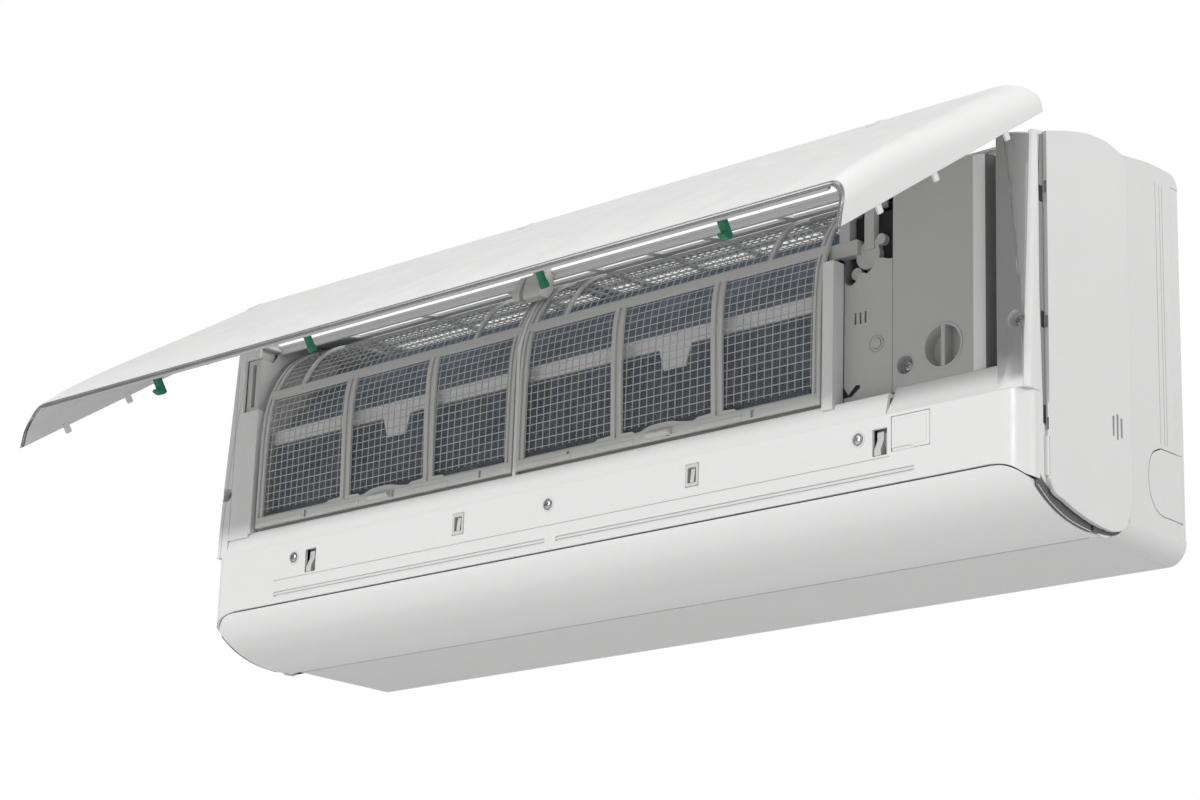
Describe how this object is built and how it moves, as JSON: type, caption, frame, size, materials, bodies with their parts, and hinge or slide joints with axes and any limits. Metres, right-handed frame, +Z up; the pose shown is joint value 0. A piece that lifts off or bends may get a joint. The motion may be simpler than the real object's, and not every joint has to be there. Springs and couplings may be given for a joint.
{
  "type": "mini split indoor unit",
  "caption": "Wall-mounted split air conditioner indoor unit with its front panel lifted, showing the air filters, control box, lower strip and the long air louvre.",
  "frame": {"origin": "centre of the mounting plate's back face, on the wall", "axes": "+X to the right seen from the room, +Y into the wall (the unit stands out along -Y), +Z up"},
  "size_m": [0.857, 0.413, 0.3192],
  "materials": {
    "white_plastic": "satin moulded ABS with a faint grain",
    "white_inner": "satin moulded plastic, slightly duller than the casing",
    "panel_white": "smooth semi-gloss casing plastic",
    "grey_plastic": "matt grey flame-retardant plastic",
    "dark_plastic": "matt dark plastic",
    "galvanised_steel": "zinc-coated pressed steel",
    "coil_fins": "fine blue-coated aluminium fins",
    "copper": "bright drawn copper tube",
    "brass": "machined brass",
    "filter_net": "fine woven plastic net",
    "green_plastic": "satin green plastic",
    "trim_chrome": "satin bright trim",
    "circuit_green": "soldermask with tinned tracks",
    "rubber_black": "matt rubber"
  },
  "bodies": {
    "wall_unit": {"mounting_plate": "galvanised_steel", "rear_chassis": "white_plastic", "pipe_cover": "white_plastic", "rear_air_guide": "grey_plastic", "left_end_wall": "grey_plastic", "right_end_wall": "grey_plastic", "front_frame": "white_plastic", "signal_window": "white_inner", "catch_insert_left": "white_inner", "catch_insert_right": "white_inner", "strip_screw_left": "galvanised_steel", "strip_screw_centre": "galvanised_steel", "strip_screw_right": "galvanised_steel", "frame_screw_right": "galvanised_steel", "frame_screw_left": "galvanised_steel", "evaporator_lower": "coil_fins", "evaporator_upper": "coil_fins", "evaporator_rear": "coil_fins", "evaporator_joint_strip": "white_inner", "suction_pipe": "copper", "liquid_pipe": "copper", "flare_nut_large": "brass", "flare_nut_small": "brass", "drain_pan": "white_inner", "drain_port": "rubber_black", "fan_bearing": "rubber_black", "fan_motor": "galvanised_steel", "motor_clamp": "grey_plastic", "electrical_box": "grey_plastic", "electrical_cover": "grey_plastic", "cover_screw": "galvanised_steel", "circuit_board": "circuit_green", "terminal_block": "dark_plastic", "hinge_bracket_right": "grey_plastic", "hinge_bracket_centre": "grey_plastic", "hinge_bracket_left": "white_inner", "louvre_motor": "galvanised_steel", "swing_rail": "grey_plastic", "swing_motor": "galvanised_steel"},
    "panel": {"front_panel": "panel_white", "panel_trim": "trim_chrome", "panel_hook_outer_left": "green_plastic", "panel_hook_outer_right": "green_plastic", "panel_hook_inner_left": "green_plastic", "panel_hook_inner_right": "green_plastic"},
    "fan": {"fan_rotor": "dark_plastic", "motor_shaft": "galvanised_steel"},
    "louvre": {"louvre": "white_plastic"},
    "filter_left": {"filter_frame_left": "white_inner", "filter_mesh_left": "filter_net"},
    "filter_right": {"filter_frame_right": "white_inner", "filter_mesh_right": "filter_net"},
    "button": {"emergency_button": "grey_plastic"},
    "link": {"swing_link": "grey_plastic"},
    "blade_1": {"swing_blade_1": "white_inner"},
    "blade_2": {"swing_blade_2": "white_inner"},
    "blade_3": {"swing_blade_3": "white_inner"},
    "blade_4": {"swing_blade_4": "white_inner"},
    "blade_5": {"swing_blade_5": "white_inner"},
    "blade_6": {"swing_blade_6": "white_inner"}
  },
  "joints": [
    {"name": "front_panel_hinge", "type": "hinge", "parent": "wall_unit", "child": "panel", "pos_m": [0, -0.1785, 0.144], "axis": [1, 0, 0], "range_deg": [0, 56]},
    {"name": "louvre_hinge", "type": "hinge", "parent": "wall_unit", "child": "louvre", "pos_m": [0, -0.109, -0.1474], "axis": [1, 0, 0], "range_deg": [0, 70]},
    {"name": "fan_spin", "type": "hinge", "parent": "wall_unit", "child": "fan", "pos_m": [0, -0.088, -0.032], "axis": [1, 0, 0], "continuous": true},
    {"name": "filter_left_release", "type": "hinge", "parent": "wall_unit", "child": "filter_left", "pos_m": [-0.224, -0.136, 0.1314], "axis": [1, 0, 0], "range_deg": [-3, 0]},
    {"name": "filter_right_release", "type": "hinge", "parent": "wall_unit", "child": "filter_right", "pos_m": [0.089, -0.136, 0.1314], "axis": [1, 0, 0], "range_deg": [-3, 0]},
    {"name": "emergency_button_press", "type": "slide", "parent": "wall_unit", "child": "button", "axis": [0, 1, 0], "range_m": [0, 0.0015], "stiffness_N_per_m": 600, "springref_m": -0.001},
    {"name": "swing_blade_1_pivot", "type": "hinge", "parent": "wall_unit", "child": "blade_1", "pos_m": [0.186, -0.143, -0.11], "axis": [0, -0.7754, 0.6315], "range_deg": [-35, 35]},
    {"name": "swing_blade_2_pivot", "type": "hinge", "parent": "wall_unit", "child": "blade_2", "pos_m": [0.082, -0.143, -0.11], "axis": [0, -0.7754, 0.6315], "range_deg": [-35, 35]},
    {"name": "swing_blade_3_pivot", "type": "hinge", "parent": "wall_unit", "child": "blade_3", "pos_m": [-0.022, -0.143, -0.11], "axis": [0, -0.7754, 0.6315], "range_deg": [-35, 35]},
    {"name": "swing_blade_4_pivot", "type": "hinge", "parent": "wall_unit", "child": "blade_4", "pos_m": [-0.126, -0.143, -0.11], "axis": [0, -0.7754, 0.6315], "range_deg": [-35, 35]},
    {"name": "swing_blade_5_pivot", "type": "hinge", "parent": "wall_unit", "child": "blade_5", "pos_m": [-0.23, -0.143, -0.11], "axis": [0, -0.7754, 0.6315], "range_deg": [-35, 35]},
    {"name": "swing_blade_6_pivot", "type": "hinge", "parent": "wall_unit", "child": "blade_6", "pos_m": [-0.334, -0.143, -0.11], "axis": [0, -0.7754, 0.6315], "range_deg": [-35, 35]},
    {"name": "swing_link_pin", "type": "hinge", "parent": "blade_1", "child": "link", "pos_m": [0.186, -0.1354, -0.1007], "axis": [0, -0.7754, 0.6315], "range_deg": [-35, 35]}
  ],
  "couplings": [
    {"joint": "swing_blade_2_pivot", "follows": "swing_blade_1_pivot", "ratio": 1},
    {"joint": "swing_blade_3_pivot", "follows": "swing_blade_1_pivot", "ratio": 1},
    {"joint": "swing_blade_4_pivot", "follows": "swing_blade_1_pivot", "ratio": 1},
    {"joint": "swing_blade_5_pivot", "follows": "swing_blade_1_pivot", "ratio": 1},
    {"joint": "swing_blade_6_pivot", "follows": "swing_blade_1_pivot", "ratio": 1},
    {"joint": "swing_link_pin", "follows": "swing_blade_1_pivot", "ratio": -1}
  ]
}
